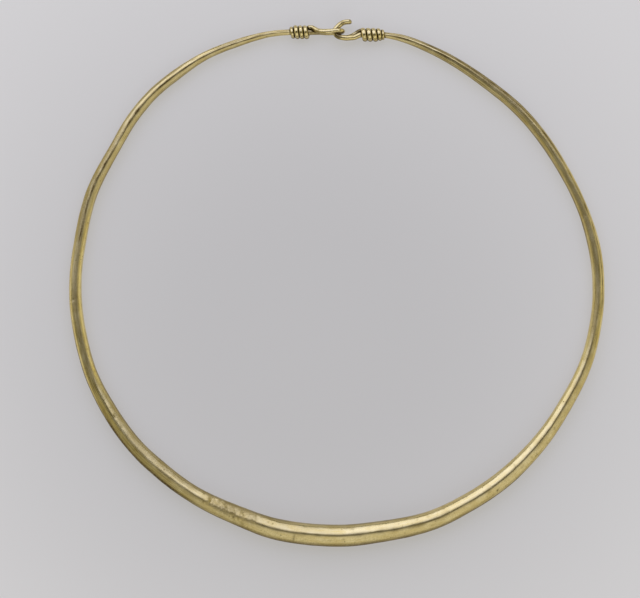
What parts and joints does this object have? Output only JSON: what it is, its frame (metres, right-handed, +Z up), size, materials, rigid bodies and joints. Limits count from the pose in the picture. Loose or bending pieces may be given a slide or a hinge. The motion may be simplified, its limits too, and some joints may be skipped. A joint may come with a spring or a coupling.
{
  "type": "neck ring",
  "caption": "Hammered gold neck ring, thickest at the front, whose wire ends form a hook and an eye and are wound back round the rod.",
  "frame": {"origin": "on the surface the ring lies on, under the middle of the whole ring", "axes": "+Z up out of the plane of the ring, +Y from the thick front to the clasp, +X to the side the hook comes from"},
  "size_m": [0.2, 0.1968, 0.0081],
  "materials": {
    "gold": "hammered and worn gold, satin, with darker grime in its hollows"
  },
  "bodies": {
    "root": {"neck_ring": "gold"}
  },
  "joints": []
}
